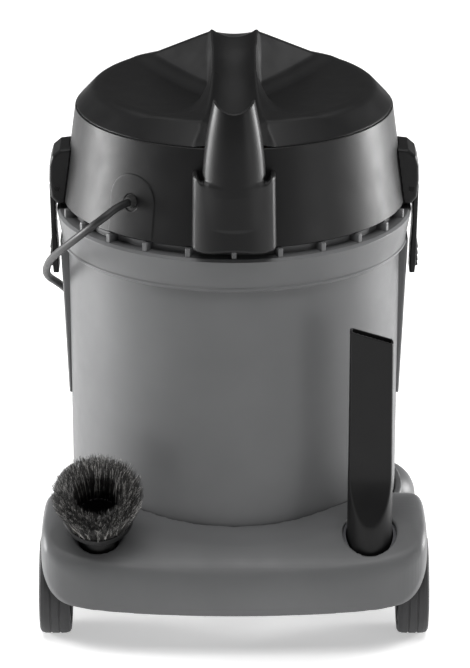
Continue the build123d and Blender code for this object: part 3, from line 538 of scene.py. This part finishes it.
def coil_points():
    """Turns wound clockwise, inwards and outwards by layers, each step made late in its turn."""
    first, last = 180, 85                     # degrees where the wound turns begin and end
    count = int((TURNS_ACROSS * LAYERS * 360 - 360 + first - last) / 360 * TURN_POINTS)
    out = []
    for n in range(1, count):
        turns = n / TURN_POINTS
        whole = int(turns)
        ease = min(1, max(0, (turns - whole - 0.6) / 0.4))
        ease = ease * ease * (3 - 2 * ease)
        layer, place = divmod(whole, TURNS_ACROSS)
        across = place if layer % 2 == 0 else TURNS_ACROSS - 1 - place
        if place == TURNS_ACROSS - 1:
            height = layer + ease
        else:
            height = layer
            across += ease if layer % 2 == 0 else -ease
        r = COIL_MEAN_R + TURN_STEP * ((TURNS_ACROSS - 1) / 2 - across)
        a = math.radians(first - 360 * turns)
        out.append((COIL_X + r * math.cos(a), COIL_Y + r * math.sin(a), CORD_D / 2 + LAYER_STEP * height))
    return out


def nurbs_line(points):
    """Points along a smooth NURBS spline with these control points, in mm about the axis."""
    curve = bpy.data.curves.new("route", "CURVE")
    curve.dimensions, curve.resolution_u = "3D", 6
    spline = curve.splines.new("NURBS")
    spline.points.add(len(points) - 1)
    for point, (x, y, z) in zip(spline.points, points):
        point.co = (x * MM, y * MM + AXIS_Y, z * MM, 1)
    spline.order_u = 3
    spline.use_endpoint_u = True
    obj = bpy.data.objects.new("route", curve)
    mesh = bpy.data.meshes.new_from_object(obj)
    out = np.array([v.co[:] for v in mesh.vertices])
    bpy.data.objects.remove(obj)
    bpy.data.meshes.remove(mesh)
    return (out - (0, AXIS_Y, 0)) / MM


def sweep(name, line, radius, sides=16):
    """Round bar along a line, closed at both ends."""
    ahead = np.gradient(line, axis=0)
    ahead /= np.linalg.norm(ahead, axis=1, keepdims=True)
    side = np.cross(ahead[0], (0, 0, 1.0))
    a = np.linspace(0, 2 * math.pi, sides, endpoint=False)[:, None]
    rings = []
    for centre, t in zip(line, ahead):
        side = side - t * (side @ t)
        side /= np.linalg.norm(side)
        rings.append(centre + radius * (np.cos(a) * side + np.sin(a) * np.cross(t, side)))
    n = len(line)
    faces = [[i + j, i + (j + 1) % sides, i + sides + (j + 1) % sides, i + sides + j]
             for i in range(0, (n - 1) * sides, sides) for j in range(sides)]
    faces += [list(range(sides))[::-1], list(range((n - 1) * sides, n * sides))]
    return make_mesh(name, np.concatenate(rings), faces)


def add_cord():
    """The whole mains lead as one bar: the hanging stretch, the coil and the tail to the plug."""
    line = nurbs_line(HANG + coil_points() + TAIL)
    cord = sweep("mains_cord", line, CORD_D / 2)
    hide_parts("power_cord", "cord_coil", "cord_tail")
    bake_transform(cord)
    return cord


# ---------------------------------------------------------------- shared forms
def cylinder(u, v, r, at=(0, 0)):
    """Field of a round bar across the plane of u and v."""
    return np.hypot(u - at[0], v - at[1]) - r


def skirt_line(z):
    """Outer radius of the head's skirt at a height."""
    return SKIRT_R + (z - SKIRT_Z) / (SHOULDER_Z - SKIRT_Z) * (SHOULDER_R - SKIRT_R)


def skirt_solid(x, y, z, outset=0.0):
    """Everything inside the skirt's cone."""
    lean = (SKIRT_R - SHOULDER_R) / (SHOULDER_Z - SKIRT_Z)
    return (np.hypot(x, y) - skirt_line(z) - outset) / math.hypot(1, lean)


def spin_z(x, y, angle):
    """x and y seen from a frame turned by an angle about Z."""
    c, s = math.cos(angle), math.sin(angle)
    return x * c + y * s, y * c - x * s


# ---------------------------------------------------------------- tub
def add_tub():
    """Drafted wall, the rim band over its beaded lip, the ribs of the exhaust slot and the side fins."""
    wall = [(0, TUB_FLOOR_Z), (142, TUB_FLOOR_Z), (TUB_FOOT_R, TUB_FLOOR_Z + 7), (TUB_R, LIP_Z - 2.5),
            (155.6, LIP_Z - 1.5), (157.4, LIP_Z), (157.4, LIP_Z + 1.6), (156.4, LIP_Z + 2.8),
            (RIM_R, RIM_Z - 2.4), (RIM_R - 2.2, RIM_Z), (MOUTH_R + WALL, RIM_Z),
            (MOUTH_R + WALL, COLLAR_Z), (MOUTH_R, COLLAR_Z), (MOUTH_R, LIP_Z + 24),
            (TUB_R - WALL, LIP_Z + 18), (TUB_FOOT_R - WALL, TUB_FLOOR_Z + 9),
            (140, TUB_FLOOR_Z + WALL), (0, TUB_FLOOR_Z + WALL)]
    pieces = [lathe("shell", wall, 0.6, 288)]
    for n in range(24):
        def rib(x, y, z, a=math.radians(15 * n)):
            u, v = spin_z(x, y, a)
            plan = meet(slab(u, 146, RIM_R - 3.2), slab(v, -2.3, 2.3), 0.8)
            return meet(plan, slab(z, RIM_Z - 2, SKIRT_Z - 0.3), 0.5)
        c, s = math.cos(math.radians(15 * n)) * 152, math.sin(math.radians(15 * n)) * 152
        pieces.append(surface_mesh("rib", rib, (c - 8, s - 8, RIM_Z - 3), (c + 8, s + 8, SKIRT_Z + 1), 1.0))
    for side in (1, -1):
        def fin(x, y, z, side=side):
            u = side * x
            outline = polygon(u, z, [(146, LIP_Z - 0.5), (158.2, LIP_Z - 0.5), (151.6, 189), (146, 189)])
            return cut(meet(outline, slab(y, -15, 15), 2.2), cylinder(x, y, 149.5))
        low, high = sorted((side * 140, side * 160))
        pieces.append(surface_mesh("fin", fin, (low, -17, 187), (high, 17, LIP_Z + 1), 1.5))
    tub = merge("tub_shell", pieces)
    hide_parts("tub")
    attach(tub, "root")
    return tub


# ---------------------------------------------------------------- chassis
BUMPER_Z, BUMPER_BOW, BUMPER_HALF = 45.6, 7.0, 150     # the deck's lower edge, and its rise out there
SIDE_FILLET, PLAN_FILLET, DECK_WALL = 9, 8, 3.8
DOME_X, DOME_Y, DOME_R, DOME_TOP, DOME_FILLET, DOME_FOOT = 133, 115, 41.0, 66, 30, 31
TRAY_R, RING_R, RING_FOOT, RING_TOP, RING_PLAY = 154, 156, 42, 96, 0.7
CHEEK_IN, CHEEK_OUT, CHEEK_HALF, CHEEK_FOOT, CHEEK_TOP = 139, 145, 14, 34, 119
NOZZLE_HOLE_R, BRUSH_HOLE_R = 23.9, 22.4


def chassis_outer(x, y, z, inset=0.0):
    """Rear deck and bumper: side, rear and plan outlines crossed with generous fillets, moved in by inset."""
    crest = smooth_curve([(-200, 47), (-204.3, 62), (-202, 77), (-195, 91), (-184, 101), (-168, 110),
                          (-148, 119), (-120, 124.5), (-85, 118), (-44, 100)], 5)
    side = polygon(y, z, crest + [(-44, 10), (-200, 10)])
    top = smooth_curve([(0, 113), (50, 115), (100, 121.5), (138, 125.5), (160, 124), (170.5, 117),
                        (174.8, 105), (175.4, 90), (173.5, 74), (165, 59.5), (150, 50), (134, 45)], 5)
    rear = polygon(np.abs(x), z, [(-60, 113)] + top + [(134, 10), (-60, 10)])
    bow = smooth_curve([(0, -206), (60, -204), (115, -199), (148, -191), (165, -181), (173.8, -165),
                        (175.8, -146), (175.8, -110), (172, -85)], 5)
    plan = polygon(np.abs(x), y, [(-60, -204.5)] + bow + [(160, -56), (148, -44), (-60, -44)])
    return meet(meet(side, rear, SIDE_FILLET), plan, PLAN_FILLET) + inset


def dome(x, y, z, inset=0.0):
    """Caster housings: two round domes that grow out of the tray."""
    drum = cylinder(np.abs(x), y, DOME_R - inset, (DOME_X, DOME_Y))
    return meet(drum, z - DOME_TOP + inset, DOME_FILLET - inset)


def chassis_field(x, y, z):
    """The whole moulding: hollow deck, ring wall and tray under the tub, domes, arches and tool openings."""
    r = np.hypot(x, y)
    deck = meet(chassis_outer(x, y, z), BUMPER_Z + BUMPER_BOW * (x / BUMPER_HALF) ** 2 - z, 1.2)
    deck = cut(deck, chassis_outer(x, y, z, DECK_WALL), 0.6)
    wall = TUB_FOOT_R + (TUB_R - TUB_FOOT_R) * (z - TUB_FLOOR_Z - 7) / (LIP_Z - TUB_FLOOR_Z - 8.5) + RING_PLAY
    seat = np.maximum(wall, TUB_FOOT_R + RING_PLAY)
    ring = meet(slab(r, seat, RING_R), slab(z, RING_FOOT, RING_TOP), 1.0)
    tray = meet(r - TRAY_R, slab(z, TUB_FLOOR_Z - 4, TUB_FLOOR_Z), 0.5)
    housing = meet(cut(dome(x, y, z), dome(x, y, z, WALL), 0.5), DOME_FOOT - z, 1.0)
    plan = meet(slab(np.abs(x), CHEEK_IN, CHEEK_OUT), slab(y, WHEEL_Y - CHEEK_HALF, WHEEL_Y + CHEEK_HALF), 1)
    cheek = meet(plan, slab(z, CHEEK_FOOT, CHEEK_TOP), 1)
    body = join(join(deck, ring, 3.0), housing, 3.0)
    body = join(body, join(tray, meet(cheek, chassis_outer(x, y, z, 1.0)), 1.5), 1.5)
    body = cut(body, meet(r - seat, TUB_FLOOR_Z - z), 0.5)
    arch = cylinder(y, z, WHEEL_R + 3, (WHEEL_Y, WHEEL_R))
    body = cut(body, meet(arch, slab(np.abs(x), WHEEL_IN - 1.5, WHEEL_OUT + 2.5)), 1.0)
    hole_r = np.where(x > 0, NOZZLE_HOLE_R, BRUSH_HOLE_R)
    hole = meet(np.hypot(np.abs(x) - TOOL_X, y - TOOL_Y) - hole_r, 60 - z)
    return cut(body, hole, 1.6)


def add_chassis():
    """The chassis moulding."""
    chassis = surface_mesh("chassis_moulding", chassis_field, (-177, -206, 29), (177, 160, 127), 1.6)
    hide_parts("chassis")
    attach(chassis, "root")
    return chassis


# ---------------------------------------------------------------- head
def add_skirt():
    """Conical lower housing of the head, eased at its lower edge."""
    r0, r1, z1 = SKIRT_R, SHOULDER_R, SHOULDER_Z - 2.0
    wall = [(r0 - 0.8, SKIRT_Z), (r0 + 0.1, SKIRT_Z + 1), (skirt_line(z1), z1), (r1 - 0.7, z1 + 0.5),
            (r1 - WALL, z1 + 0.5), (r1 - WALL, z1 - 4), (r0 - WALL, SKIRT_Z + 4), (r0 - WALL, SKIRT_Z)]
    skirt = lathe("skirt_shell", wall, 0.5, 288)
    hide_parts("head_skirt")
    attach(skirt, "head")
    return skirt


# the handle ridge along Y: height of its two edges, their half distance, how steeply its sides fall, and
# how deep the trough between them is
CREST = [(-150, 450), (-139, 463), (-135, 467.3), (-123.5, 480.8), (-113, 483.6), (-90, 488.2), (-65, 494.8),
         (-38, 503), (-10, 511), (12, 519), (27, 523.2), (34, 522.4), (60, 512.5), (100, 495.5), (130, 483),
         (160, 470)]
CREST_HALF = [(-150, 41), (-139, 37), (-123.5, 30), (-113, 26.5), (-90, 22.5), (-65, 20.3), (-30, 18.6),
              (0, 18.6), (28, 20), (160, 20)]
CREST_FALL = [(-150, 0.05), (-107, 0.08), (-90, 0.34), (-72, 0.8), (-50, 1.7), (-35, 3.2), (-20, 8), (160, 8)]
TROUGH = [(-150, 6), (-139, 7), (-123, 8.5), (-65, 8.5), (0, 8), (28, 8), (50, 4), (75, -1), (110, -6),
          (160, -6)]


BEVEL_NORMAL = (0.734, 0.679)                 # outwards and up
DISH = 6.0                                    # how far the top sinks between the bevel and the middle
PEAK_HALF, PEAK_Y, ROOF_SIDE_FALL, ROOF_FRONT_FALL = 20, 28, 0.28, 0.423
FACET_HALF, FACET_Y, FACET_Z, FACET_SIDE_FALL, FACET_RISE = 21, -22, 480, 1.321, 0.874
CROWN_R, CROWN_Z = 194.5, 334.5               # the sphere that the roof stays inside


def cover_field(x, y, z):
    """Bevelled rim, two scoops with facets that face the rear, the front roof, and the troughed ridge."""
    r, across = np.hypot(x, y), np.abs(x)
    bevel = (r - SHOULDER_R) * BEVEL_NORMAL[0] + (z - SHOULDER_Z + 1.5) * BEVEL_NORMAL[1]
    outer = meet(meet(bevel, r - SHOULDER_R + 0.1, 1.6), SHOULDER_Z - 1.6 - z, 0.3)
    floor = (z - (BEVEL_Z - DISH * (1 - np.minimum(1, (r / BEVEL_R) ** 2)))) * 0.995
    wide = np.maximum(across, PEAK_HALF)
    front = TOP_Z - 1.6 - ROOF_SIDE_FALL * (wide - PEAK_HALF) - ROOF_FRONT_FALL * (y - PEAK_Y)
    front = (z - front) / 1.12
    facet = FACET_Z - FACET_SIDE_FALL * (wide - FACET_HALF) + FACET_RISE * (y - FACET_Y)
    facet = (z - facet) / 1.87
    roof = meet(front, facet, 2.5)
    body = join(floor, roof, 9.0)
    crown = np.hypot(r, z - CROWN_Z) - CROWN_R
    body = meet(body, crown, 6.0)
    crest, half = along(y, CREST), along(y, CREST_HALF)
    fall, deep = along(y, CREST_FALL), along(y, TROUGH)
    side = (z - crest + fall * np.maximum(0, across - half - 1.0)) / np.sqrt(1.2 + fall ** 2)
    ridge = meet(side, (z - crest) / 1.1, 0.8)
    body = join(body, ridge, 2.5)
    body = meet(body, outer, 1.3)
    bowl = z - crest + deep - np.maximum(deep, 4) * (x / half) ** 2
    steep = 2 * np.maximum(deep, 4) * across / half ** 2
    return meet(body, bowl / np.sqrt(1.1 + steep ** 2), 0.7)


def add_cover():
    """Top cover of the head."""
    cover = surface_mesh("top_cover", cover_field, (-145, -145, SHOULDER_Z - 3), (145, 145, TOP_Z + 1), 1.5)
    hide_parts("head_cover")
    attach(cover, "head")
    return cover


def d_section(x, y, half, back, bulge):
    """D-shaped section: straight sides and a round rear, with all sizes free to change with height."""
    r = (half ** 2 + bulge ** 2) / (2 * bulge)
    return meet(np.abs(x) - half, np.hypot(x, y + back + bulge - r) - r, 3.0)


FOOT_HALF, FOOT_BACK, FOOT_BULGE, FOOT_TOP = 37, 163.5, 17.0, 440.5
TONGUE_HALF = [(430, 28.0), (455, 26.8), (480, 24.3), (500, 21.0), (513, 18.4)]       # by height
TONGUE_BACK = [(430, 161), (480, 157.5), (513, 151.5)]
TONGUE_BULGE, TONGUE_TOP = 18.0, 511.5


def hook_field(x, y, z):
    """Foot with raised side flanges, and a hollow tongue that stands off the head and narrows upwards."""
    def foot(t):
        share = (z - 378) / 68
        return d_section(x, y, FOOT_HALF - share - t, FOOT_BACK - 5 * share - t, FOOT_BULGE)

    def tongue(t):
        return d_section(x, y, along(z, TONGUE_HALF) - t, along(z, TONGUE_BACK) - t, TONGUE_BULGE)

    scallop = z - FOOT_TOP - 4.5 * np.minimum(1, np.maximum(0, (np.abs(x) - 27) / 5)) ** 2
    base = meet(meet(foot(0), scallop, 3.6), 379.2 + 1.6 * np.cos(x / 9.0) - z, 3.0)
    base = cut(base, foot(4.2), 1.4)
    rise = meet(tongue(0), z - (TONGUE_TOP - 7.5 * (1 - np.minimum(1, (x / 17.5) ** 2))), 1.2)
    rise = meet(rise, 400 - z, 2.0)
    rise = cut(rise, tongue(3.2), 1.0)
    rise = meet(rise, y + 149.0, 1.5)
    bridge = meet(meet(tongue(0), slab(z, 436, 441), 1), foot(1))
    hook = join(join(base, rise, 2.5), bridge, 2.0)
    return cut(hook, skirt_solid(x, y, z, SEAM))


def add_hook():
    """Cable hook on the rear of the head."""
    hook = surface_mesh("hook", hook_field, (-40, -184, 375), (40, -128, 514), 1.0)
    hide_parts("cable_hook")
    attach(hook, "head")
    return hook


PANEL_HALF, PANEL_HOLE_R = 24.5, 7.6


def panel_field(x, y, z):
    """Arched plate that stands just proud of the skirt, with the cord's round mouth."""
    u, v = spin_z(x, y, CORD_AZIMUTH)
    arch = join(meet(np.abs(u) - PANEL_HALF, z - CORD_Z), np.hypot(u, z - CORD_Z) - PANEL_HALF)
    arch = meet(arch, SKIRT_Z + 1 - z)
    plate = meet(meet(arch, skirt_solid(x, y, z, 0.9), 0.8), -skirt_solid(x, y, z, -2.0))
    mouth = np.hypot(u, z - CORD_Z + 1) - PANEL_HOLE_R
    return meet(cut(plate, mouth, 0.7), v + 100)      # only the side where the cord comes out


def add_panel():
    """Cable entry panel."""
    x, y, z = exit_point(150)
    low, high = (x - 28, y - 24, SKIRT_Z - 1), (x + 28, y + 26, 437)
    panel = surface_mesh("entry_panel", panel_field, low, high, 0.9)
    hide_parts("cable_panel")
    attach(panel, "head")
    return panel


BRACKET_HALF, BLADE_HALF, BLADE_TAPER, KNUCKLE_R, PIN_HOLE_R = 21, 15.6, 0.02, 5.6, 2.55


def add_latch(side, hand):
    """Bracket with rounded shoulders on the head, and the lever that hangs over the rim."""
    def bracket(x, y, z):
        u = side * x
        side_view = polygon(u, z, [(148, 373.5), (160, 373.5), (165.4, 380), (167, 396), (166.6, 410),
                                   (164, 419), (157, 425), (140, 427), (140, 392), (148, 392)])
        slot = meet(np.abs(y) - 16.6, z - 392, 0.8)
        solid = meet(side_view, slab(y, -BRACKET_HALF, BRACKET_HALF), 3.0)
        return cut(cut(solid, slot, 0.6), skirt_solid(x, y, z, SEAM))

    def lever(x, y, z):
        u = side * x
        blade = polygon(u, z, smooth_curve([(161.9, 391), (161.7, 350), (160.3, 328), (159.7, 305.6)], 4)
                        + smooth_curve([(164.6, 305.6), (165.8, 322), (166.2, 350), (167.2, 391)], 4))
        blade = meet(blade, np.abs(y) - BLADE_HALF + BLADE_TAPER * (LATCH_Z - z), 1.2)
        knuckle = meet(cylinder(u, z, KNUCKLE_R, (LATCH_X, LATCH_Z)), np.abs(y) - 16, 0.8)
        nose = meet(meet(slab(u, RIM_R + 0.4, 163), slab(z, 343.5, 348)), np.abs(y) - 13, 0.6)
        grip = meet(meet(slab(u, 164.5, 167.4), slab((z + 1.5) % 6.0, 0, 3), 0.9), slab(z, 312, 334))
        grip = meet(grip, np.abs(y) - 12, 0.8)
        solid = join(join(join(blade, knuckle, 2), nose, 0.6), grip, 0.6)
        return cut(solid, cylinder(u, z, PIN_HOLE_R, (LATCH_X, LATCH_Z)))

    low, high = sorted((side * 138, side * 170))
    housing = surface_mesh(f"latch_housing_{hand}", bracket, (low, -23, 375), (high, 23, 434), 1.0)
    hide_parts(f"latch_bracket_{hand}")
    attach(housing, "head")
    low, high = sorted((side * 153, side * 169))
    latch = surface_mesh(f"latch_{hand}", lever, (low, -18, 304), (high, 18, 396), 0.9)
    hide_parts(f"latch_lever_{hand}")
    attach(latch, f"latch_{hand}")
    return housing, latch


# ---------------------------------------------------------------- stored tools
FLATTENING = ([(40, 48.5), (100, 26.8)]          # half thickness of the nozzle by height
              + smooth_curve([(123, 20), (145, 12.6), (160, 8.6), (172, 7.3), (190, 7.0), (230, 7.0)], 6)
              + [(330, 7)])
NOZZLE_R = [(40, 20.0), (150, 20.0), (200, 19.6), (330, 19.3)]
NOZZLE_FOOT, NOZZLE_TIP, TIP_SLANT, NOZZLE_WALL = 53.5, 298.5, 0.30, 2.0


def nozzle_field(x, y, z):
    """Round socket that flattens to a slot, its tip cut aslant, with a thin wall all the way."""
    u, v = x - TOOL_X, y - TOOL_Y

    def body(t):
        return meet(np.hypot(u, v) - along(z, NOZZLE_R) + t, np.abs(v) - along(z, FLATTENING) + t, 1.0)

    tip = (z - NOZZLE_TIP + TIP_SLANT * u) / 1.04
    tube = meet(meet(body(0), tip, 0.7), NOZZLE_FOOT - z, 0.7)
    return cut(tube, body(NOZZLE_WALL), 0.4)


def add_nozzle():
    """Crevice nozzle."""
    low, high = (TOOL_X - 21, TOOL_Y - 21, 52), (TOOL_X + 21, TOOL_Y + 21, 307)
    nozzle = surface_mesh("crevice_tool", nozzle_field, low, high, 1.1)
    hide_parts("crevice_nozzle")
    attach(nozzle, "nozzle")
    return nozzle


BRUSH_LEAN, BRUSH_KNEE_Z = math.radians(30), 118.0
LEAN = [[1, 0, 0],
        [0, math.cos(BRUSH_LEAN), -math.sin(BRUSH_LEAN)],
        [0, math.sin(BRUSH_LEAN), math.cos(BRUSH_LEAN)]]


def add_brush():
    """Brush body: an upright neck, a leaning funnel with a beaded rim, and the round sole of the bristles."""
    knee = (-TOOL_X, TOOL_Y, BRUSH_KNEE_Z)
    neck = [(18.5, 53), (18.5, 117), (16, 117), (16, 53)]
    funnel = [(16, -9), (18.6, -9), (19.2, -2), (21, 2), (29.4, 9), (31.6, 12), (31.8, 17.5), (30.6, 18.5),
              (29.8, 16), (18, 15.4), (17, 10), (15, -2)]
    body = merge("brush_head", [lathe("neck", neck, 0.6, 96, (-TOOL_X, TOOL_Y, 0)),
                                lathe("funnel", funnel, 0.9, 128, knee, LEAN)])
    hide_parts("brush_body")
    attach(body, "brush")
    return body


STRAND_SEED, TUFT_STRANDS, PALE_SHARE, STRAY_SHARE = 7, 38, 0.13, 0.07
STRAND_RINGS, STRAND_SIDES = 4, 3               # cross-sections along a strand, and points in each
STRAND_POINTS = STRAND_RINGS * STRAND_SIDES
THIRD_TURN = 2.0944                             # radians


def add_bristles():
    """Several thousand tapered strands in five rings of tufts, each a little bent and fanned outwards."""
    draw = random.Random(STRAND_SEED)
    points, faces, pale = [], [], []
    rings = ((19.4, 30), (21.8, 34), (24.2, 38), (26.6, 42), (28.8, 46))
    for ring, count, n in [(ring, count, n) for ring, count in rings for n in range(count)]:
        angle = 2 * math.pi * (n + draw.uniform(-0.25, 0.25)) / count
        for _ in range(TUFT_STRANDS):
            a = angle + draw.gauss(0, 0.06)
            root_r = ring + draw.gauss(0, 0.7)
            out = (root_r - 18) / 11
            stray = 3.0 if draw.random() < STRAY_SHARE else 0.0
            tip_r = min(41.5 + 1.5 * math.sin(a), 23.0 + 16.0 * out + stray + draw.gauss(0, 1.8))
            tip_z = 52.5 + 3.0 * math.sin(a) - 4.0 * abs(draw.gauss(0, 0.7)) - 3.5 * out ** 2
            tip_a = a + draw.gauss(0, 0.12)
            curl = draw.gauss(0, 1.8)
            pale.append(1.0 if draw.random() < PALE_SHARE else 0.08)
            line = []
            for s in (0, 0.34, 0.68, 1):
                r = root_r + (tip_r - root_r) * s ** 1.35 + curl * s * (1 - s) * 2
                t = a + (tip_a - a) * s
                line.append((r * math.cos(t), r * math.sin(t), 14.5 + (tip_z - 14.5) * s))
            thick = draw.uniform(0.22, 0.36) + 0.12 * pale[-1]
            base = len(points)
            for (px, py, pz), w in zip(line, (1, 0.95, 0.75, 0.3)):
                for k in range(STRAND_SIDES):
                    b = t + k * THIRD_TURN
                    points.append((px + thick * w * math.cos(b), py + thick * w * math.sin(b), pz))
            end = base + STRAND_POINTS - STRAND_SIDES
            for at in range(base, end, STRAND_SIDES):
                for k in range(STRAND_SIDES):
                    m = (k + 1) % STRAND_SIDES
                    faces.append([at + k, at + m, at + STRAND_SIDES + m, at + STRAND_SIDES + k])
            faces.append([base + 2, base + 1, base])
            faces.append([end, end + 1, end + 2])
    points = np.array(points) @ np.array(LEAN).T + (-TOOL_X, TOOL_Y, BRUSH_KNEE_Z)
    bristles = make_mesh("bristles", points, faces)
    tone = bristles.data.attributes.new("pale", "FLOAT", "POINT")
    tone.data.foreach_set("value", np.repeat(pale, STRAND_POINTS).astype(np.float32))
    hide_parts("brush_bristles")
    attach(bristles, "brush")
    return bristles


# ---------------------------------------------------------------- wheels
def add_tyre(side, hand):
    """Solid tyre with a crowned tread, two fine grooves and rolled shoulders."""
    width = WHEEL_OUT - WHEEL_IN
    wall = [(38.05, 0.6), (41.5, 0.0), (43.8, 1.4), (44.8, 4.5), (45, 9), (44.2, 9.7), (44.2, 10.4), (45, 11),
            (45, 17), (44.2, 17.6), (44.2, 18.3), (45, 19), (44.8, width - 4.5), (43.8, width - 1.4),
            (41.5, width), (38.05, width - 0.6)]
    turn = [[0, 0, side], [0, 1, 0], [-side, 0, 0]]
    tyre = lathe(f"tread_{hand}", wall, 0.7, 160, (side * WHEEL_IN, WHEEL_Y, WHEEL_R), turn, 3)
    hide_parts(f"tyre_{hand}")
    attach(tyre, f"wheel_{hand}")
    return tyre


# ---------------------------------------------------------------- the whole machine
MATERIALS = make_materials()


def finish_cad_nodes():
    """Gives every CAD node that still shows the procedural material of its slot."""
    slots = {part["node"]: part["material_slot"] for part in frame["record"]["subparts"]}
    for name, obj in NODES.items():
        obj.data.materials.clear()
        obj.data.materials.append(MATERIALS[slots[name]])


def dress(obj, slot):
    """Material and slot of a new piece."""
    obj.data.materials.clear()
    obj.data.materials.append(MATERIALS[slot])


finish_cad_nodes()
dress(add_cord(), "cord_rubber")
dress(add_tub(), "grey_plastic")
dress(add_chassis(), "grey_plastic")
for piece in (add_skirt(), add_cover(), add_hook(), add_panel(), add_nozzle(), add_brush()):
    dress(piece, "black_plastic")
for side, hand in ((1, "right"), (-1, "left")):
    for piece in add_latch(side, hand):
        dress(piece, "black_plastic")
    dress(add_tyre(side, hand), "tyre")
dress(add_bristles(), "bristle")
add_camera()
add_stage()
